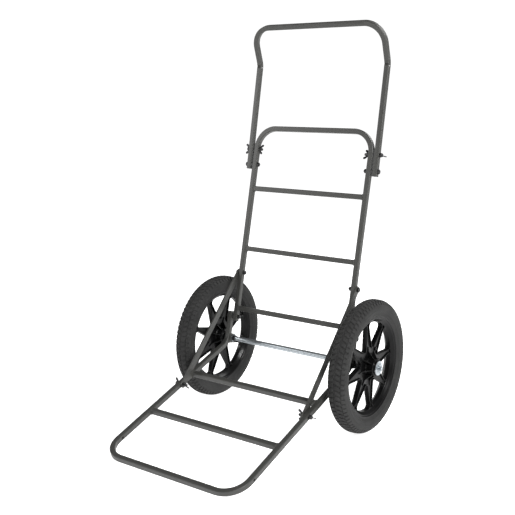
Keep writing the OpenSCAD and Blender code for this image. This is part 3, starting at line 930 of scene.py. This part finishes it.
def wheel_moulding(size, first_angle):
    """The one-piece plastic wheel: rim, channelled spokes, ribbed windows and hub."""
    pitch = 2 * math.pi / SPOKES
    plastic = FINISHES["wheel_plastic"]
    rim_r = size["rim_r"]
    lip = LIP_HALF
    half_side = [
        (rim_r - 6 * MM, 17 * MM), (rim_r, 17 * MM), (rim_r + 0.4 * MM, lip - 0.8 * MM),
        (rim_r - 1.2 * MM, lip), (rim_r - 4.5 * MM, lip - 0.2 * MM), (rim_r - 6.5 * MM, lip - 2.6 * MM),
        (rim_r - 9.5 * MM, lip - 3.4 * MM), (rim_r - 14.5 * MM, lip - 9 * MM), (137.4 * MM, 7.5 * MM),
        (WINDOW_R, 5 * MM),
    ]
    section = half_side + [(r, -z) for r, z in reversed(half_side)]
    rim = lathe("rim", rounded(section, 1.2 * MM), 160, smooth_angle=40)

    windows = [turned(window_outline(), (i + 0.5) * pitch + first_angle) for i in range(SPOKES)]
    web = plate("web", [circle(140 * MM), circle(20 * MM, 48)] + windows, WEB_HALF, 0.8 * MM)
    rib = plate("window_rib", [window_outline(RIB_W), window_outline()], RIB_HALF, 1.0 * MM, 3)
    ribs = repeated(
        "window_ribs", rib, RING_TREE, plastic, count=SPOKES, first_angle=first_angle + pitch / 2
    )
    hub_in, hub_out = size["hub_in"], size["hub_out"]
    hub_outline = [
        (BORE_R, hub_in), (21 * MM, hub_in), (DRUM_R, hub_in + 6 * MM), (DRUM_R, -RIB_HALF),
        (BASE_RING_R, -RIB_HALF + 2 * MM), (BASE_RING_R, RIB_HALF - 2 * MM),
        (DRUM_R, RIB_HALF + 1 * MM), (DRUM_R, hub_out - 7 * MM), (22.4 * MM, hub_out - 5 * MM),
        (22.4 * MM, hub_out - 1 * MM), (21.4 * MM, hub_out), (BORE_R, hub_out),
    ]
    hub = lathe("hub", rounded(hub_outline, 0.8 * MM), 72)
    # Gussets lean from the hub's drum down to the ribs on both faces
    vane_outline = [
        (23 * MM, -24 * MM), (27 * MM, -24 * MM), (46 * MM, -7 * MM), (64 * MM, -6.4 * MM),
        (64 * MM, 6.4 * MM), (46 * MM, 7 * MM), (27 * MM, 24 * MM), (23 * MM, 24 * MM),
    ]
    vane = plate("vane", [rounded(vane_outline, 4 * MM)], 1.5 * MM, 0.6 * MM)
    vane.transform(Matrix.Rotation(math.pi / 2, 4, "X"))
    vanes = repeated("vanes", vane, RING_TREE, plastic, count=SPOKES, first_angle=first_angle)
    boss_outline = [
        (0, 2 * MM), (5.2 * MM, 2 * MM), (5.2 * MM, 8.4 * MM), (4.4 * MM, 9.2 * MM),
        (2.2 * MM, 9.2 * MM), (1.6 * MM, 8.0 * MM), (0, 8.0 * MM),
    ]
    boss = lathe("boss", boss_outline, 40, closed=False)
    to_spoke = Matrix.Rotation(first_angle + BOSS_SPOKE * pitch, 4, "Z")
    boss.transform(to_spoke @ Matrix.Translation((BOSS_AT_R, 0, 0)))
    stay = Matrix.Identity(4)
    return joined("moulding", [(part, stay) for part in (rim, web, ribs, hub, vanes, boss)], 40)


def build_wheel(side_name):
    side = SIDES[side_name]
    size = wheel_sizes(side_name)
    place = outward(side, size["centre"])
    body = f"{side_name}_wheel"
    moulding = wheel_moulding(size, WHEEL_TURN[side_name])
    moulding.transform(place)
    piece(f"{body}_moulding", moulding, body, "wheel_plastic", stands_for=[f"wheel_rim_{side_name}"])
    casing = tyre_casing(size)
    casing.transform(place)
    piece(f"{body}_tyre", casing, body, "tyre_rubber", stands_for=[f"tyre_{side_name}"])
    tread = repeated(
        f"{body}_tread", lug_mesh(size), RING_TREE, FINISHES["tyre_rubber"], count=LUGS, first_angle=0.0
    )
    tread.transform(place)
    piece(f"{body}_tread", tread, body, "tyre_rubber")


# ---- Bolts, nuts and wings ----

HEX_CORNER_R = 7.4 * MM
HEAD_H = 5.3 * MM
BOLT_PITCH = 1.25 * MM
THREAD_LENGTH = 5 * MM
AXLE_R = 6 * MM
AXLE_PITCH = 1.75 * MM
AXLE_THREAD_LENGTH = 14 * MM
# Turns of the hexagons about the bolts, in radians
HEAD_TURN = 0.35
NUT_TURN = 0.8
# How far a wing bolt stands out from its tube
WING_BOLT_H = 15 * MM


def thread_mesh(name, radius, length, pitch, slot):
    """Thread ridges along Z from the origin."""
    crest, root = radius + 0.12 * MM, radius - 0.5 * MM
    flat = 0.08 * pitch
    ridge = lathe("ridge", [(root, -pitch / 2), (crest, -flat), (crest, flat), (root, pitch / 2)], 32)
    count = max(2, round(length / pitch))
    return repeated(name, ridge, ROW_TREE, FINISHES[slot], count=count, pitch=pitch)


def bolt_mesh(shank_length):
    """A hex bolt along -Z from under its head at the origin."""
    head = hex_block("head", HEX_CORNER_R, HEAD_H)
    collar_outline = [(0, -0.1 * MM), (6.9 * MM, -0.1 * MM), (6.9 * MM, 0.6 * MM), (0, 0.6 * MM)]
    collar = lathe("collar", collar_outline, 40)
    end = -shank_length
    outline = [(0, 0), (BOLT_R, 0), (BOLT_R, end + 0.8 * MM), (BOLT_R - 0.8 * MM, end), (0, end)]
    shank = lathe("shank", outline, 40)
    thread = thread_mesh("thread", BOLT_R, THREAD_LENGTH, BOLT_PITCH, "dark_steel")
    stay = Matrix.Identity(4)
    down = Matrix.Translation((0, 0, end + 1.4 * MM))
    return joined("bolt", [(head, stay), (collar, stay), (shank, stay), (thread, down)], 30)


def build_bolts():
    """Hex bolts and nuts at the hinge, the handle's pivot and the braces' upper ends."""
    for name, body in (("hinge", "lower_frame"), ("handle_pivot", "upright"), ("brace", "upright")):
        bolt_node, nut_node = f"{name}_bolts", f"{name}_nuts"
        bolts, nuts = [], []
        for side in SIDES.values():
            tip, head_top = side_span(bolt_node, side)
            centre = middle(nut_node, side)
            head_at = Vector((side * (head_top - HEAD_H), centre.y, centre.z))
            bolts.append((bolt_mesh(head_top - HEAD_H - tip), outward(side, head_at, HEAD_TURN)))
            inner, outer = side_span(nut_node, side)
            nut = hex_block("nut", HEX_CORNER_R, outer - inner, BOLT_R, both_ends=True)
            nut_at = Vector((side * inner, centre.y, centre.z))
            nuts.append((nut, outward(side, nut_at, NUT_TURN)))
        piece(f"{name}_bolt_set", joined("bolts", bolts, 30), body, "dark_steel", stands_for=[bolt_node])
        piece(f"{name}_nut_set", joined("nuts", nuts, 30), body, "dark_steel", stands_for=[nut_node])


def wing_mesh(hole_r=0.0):
    """A boss with two pressed wings, rising along Z from its foot."""
    boss = [
        (hole_r, 0), (6.6 * MM, 0), (7.2 * MM, 0.8 * MM), (6.4 * MM, 4 * MM), (5.6 * MM, 7.4 * MM),
        (5.0 * MM, 8 * MM), (hole_r, 8 * MM),
    ]
    shapes = [(lathe("boss", rounded(boss, 0.5 * MM), 40), Matrix.Identity(4))]
    wing = [
        (4.6, 1.2), (7.4, 1.2), (11.0, 3.6), (15.2, 7.4), (17.2, 11.2), (16.0, 14.6), (12.6, 15.4),
        (9.4, 13.2), (7.6, 9.4), (4.6, 7.2),
    ]
    outline = rounded([(x * MM, z * MM) for x, z in wing], 3 * MM, 4)
    for turn in (0, math.pi):
        shape = plate("wing", [outline], 1.3 * MM, 0.6 * MM)
        stand = Matrix.Rotation(turn, 4, "Z") @ Matrix.Rotation(math.pi / 2, 4, "X")
        shapes.append((shape, stand))
    return shapes


# Turns of each wing bolt and wing nut from the tube they clamp, in degrees
WING_TURNS = {
    ("handle", "left"): (4, -12),
    ("handle", "right"): (82, -25),
    ("brace", "left"): (48, -70),
    ("brace", "right"): (-42, 76),
}


def build_wings(side_name):
    side = SIDES[side_name]
    for place_name, base_turn in (("handle", LEG_TURN), ("brace", RAIL_TURN)):
        bolt_turn, nut_turn = (base_turn + math.radians(t) for t in WING_TURNS[place_name, side_name])
        # Wing bolt: boss and wings outside, shank through the tube
        node = f"{place_name}_wing_bolt_{side_name}"
        inner, outer = side_span(node, side)
        foot = outer - WING_BOLT_H
        shapes = wing_mesh()
        outline = [
            (0, 0.5 * MM), (BOLT_R, 0.5 * MM), (BOLT_R, inner - foot + 0.8 * MM),
            (BOLT_R - 0.8 * MM, inner - foot), (0, inner - foot),
        ]
        shapes.append((lathe("shank", outline, 40), Matrix.Identity(4)))
        thread = thread_mesh("thread", BOLT_R - 0.1 * MM, 14 * MM, BOLT_PITCH, "dark_steel")
        shapes.append((thread, Matrix.Translation((0, 0, inner - foot + 1.2 * MM))))
        mesh = joined(node, shapes, 40)
        hole = joint_place(f"{side_name}_{place_name}_wing_nut_turn")
        mesh.transform(outward(side, Vector((side * foot, hole.y, hole.z)), bolt_turn))
        piece(f"{node}_detail", mesh, BODY_OF[node], "dark_steel", stands_for=[node])
        # Wing nut: boss and wings inside
        node = f"{place_name}_wing_nut_{side_name}"
        outer = side_span(node, side)[1]
        mesh = joined(node, wing_mesh(BOLT_R + 0.05 * MM), 40)
        mesh.transform(inward(side, Vector((side * outer, hole.y, hole.z)), nut_turn))
        piece(f"{node}_detail", mesh, BODY_OF[node], "dark_steel", stands_for=[node])


def build_studs():
    """Thread on the studs' ends and on the axle's bare lengths."""
    threads = []
    for side_name, side in SIDES.items():
        inner = side_span("handle_lock_studs", side)[0]
        hole = joint_place(f"{side_name}_handle_wing_nut_turn")
        thread = thread_mesh("thread", BOLT_R, THREAD_LENGTH, BOLT_PITCH, "dark_steel")
        threads.append((thread, outward(side, Vector((side * (inner + 1 * MM), hole.y, hole.z)))))
        node = f"brace_stud_{side_name}"
        inner = side_span(node, side)[0]
        hole = joint_place(f"{side_name}_brace_wing_nut_turn")
        thread = thread_mesh(f"{node}_thread", BOLT_R, THREAD_LENGTH, BOLT_PITCH, "dark_steel")
        thread.transform(outward(side, Vector((side * (inner + 1 * MM), hole.y, hole.z))))
        piece(f"{node}_thread", thread, f"{side_name}_brace", "dark_steel")
    piece("handle_stud_threads", joined("threads", threads, 30), "upright", "dark_steel")
    sleeve_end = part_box("axle_sleeve")[1].x
    spans = []
    for side in SIDES.values():
        thread = thread_mesh("axle_thread", AXLE_R, AXLE_THREAD_LENGTH, AXLE_PITCH, "zinc")
        start = Vector((side * (sleeve_end + 1.5 * MM), AXLE.y, AXLE.z))
        spans.append((thread, outward(side, start)))
    piece("axle_threads", joined("axle_threads", spans, 30), "lower_frame", "zinc")


def finish_cad_nodes():
    """Every CAD node that still shows gets its slot's finish."""
    slots = {part["node"]: part["material_slot"] for part in frame["record"]["subparts"]}
    for name, thing in NODES.items():
        thing.data.materials.clear()
        thing.data.materials.append(FINISHES[slots[name]])


# ---- Studio ----

FLOOR_REACH = 60
SKY_STRENGTH = 0.28
# What the camera sees of the sky beyond the light that it gives
SKY_EXTRA_SEEN = 0.77
LAMPS_AIM = Vector((0, 0, 0.5))
CAMERA_LENS = 58.9
CAMERA_PLACE = (1.4247, -1.9786, 1.0221)
CAMERA_AIM = Vector((-0.5677, 0.8000, -0.1942))


def build_studio():
    floor = bpy.data.meshes.new("studio_floor")
    reach = FLOOR_REACH
    corners = [(-reach, -reach, 0), (reach, -reach, 0), (reach, reach, 0), (-reach, reach, 0)]
    floor.from_pydata(corners, [], [(0, 1, 2, 3)])
    floor.materials.append(make_floor_paint())
    new_object("studio_floor", floor)

    world = bpy.data.worlds.new("studio")
    bpy.context.scene.world = world
    world.use_nodes = True
    sky = Tree(world.node_tree)
    background = world.node_tree.nodes["Background"]
    background.inputs["Color"].default_value = colour(1, 1, 1)
    # White behind the cart, softer where it lights the cart
    seen = sky.node("ShaderNodeLightPath", output="Is Camera Ray")
    strength = SKY_STRENGTH + SKY_EXTRA_SEEN * seen
    sky.tree.links.new(strength.socket, background.inputs["Strength"])

    def soft_light(name, place, size, power):
        light = bpy.data.lights.new(name, "AREA")
        light.shape = "DISK"
        light.size = size
        light.energy = power
        lamp = new_object(name, light)
        lamp.location = place
        aim = LAMPS_AIM - Vector(place)
        lamp.rotation_mode = "QUATERNION"
        lamp.rotation_quaternion = aim.to_track_quat("-Z", "Y")

    soft_light("key_light", (3.2, -1.0, 2.8), 1.2, 230)
    soft_light("fill_light", (-3.0, -2.2, 2.0), 1.2, 70)
    soft_light("back_light", (0.6, 3.0, 2.6), 1.6, 60)

    camera = bpy.data.cameras.new("camera")
    camera.lens = CAMERA_LENS
    camera.sensor_width = 36
    camera.clip_end = 200
    eye = new_object("camera", camera)
    eye.location = CAMERA_PLACE
    eye.rotation_mode = "QUATERNION"
    eye.rotation_quaternion = CAMERA_AIM.to_track_quat("-Z", "Y")
    bpy.context.scene.camera = eye
    bpy.context.scene.view_settings.view_transform = "Standard"


build_tubes()
for wheel_side in SIDES:
    build_wheel(wheel_side)
    build_wings(wheel_side)
build_bolts()
build_studs()
finish_cad_nodes()
build_studio()
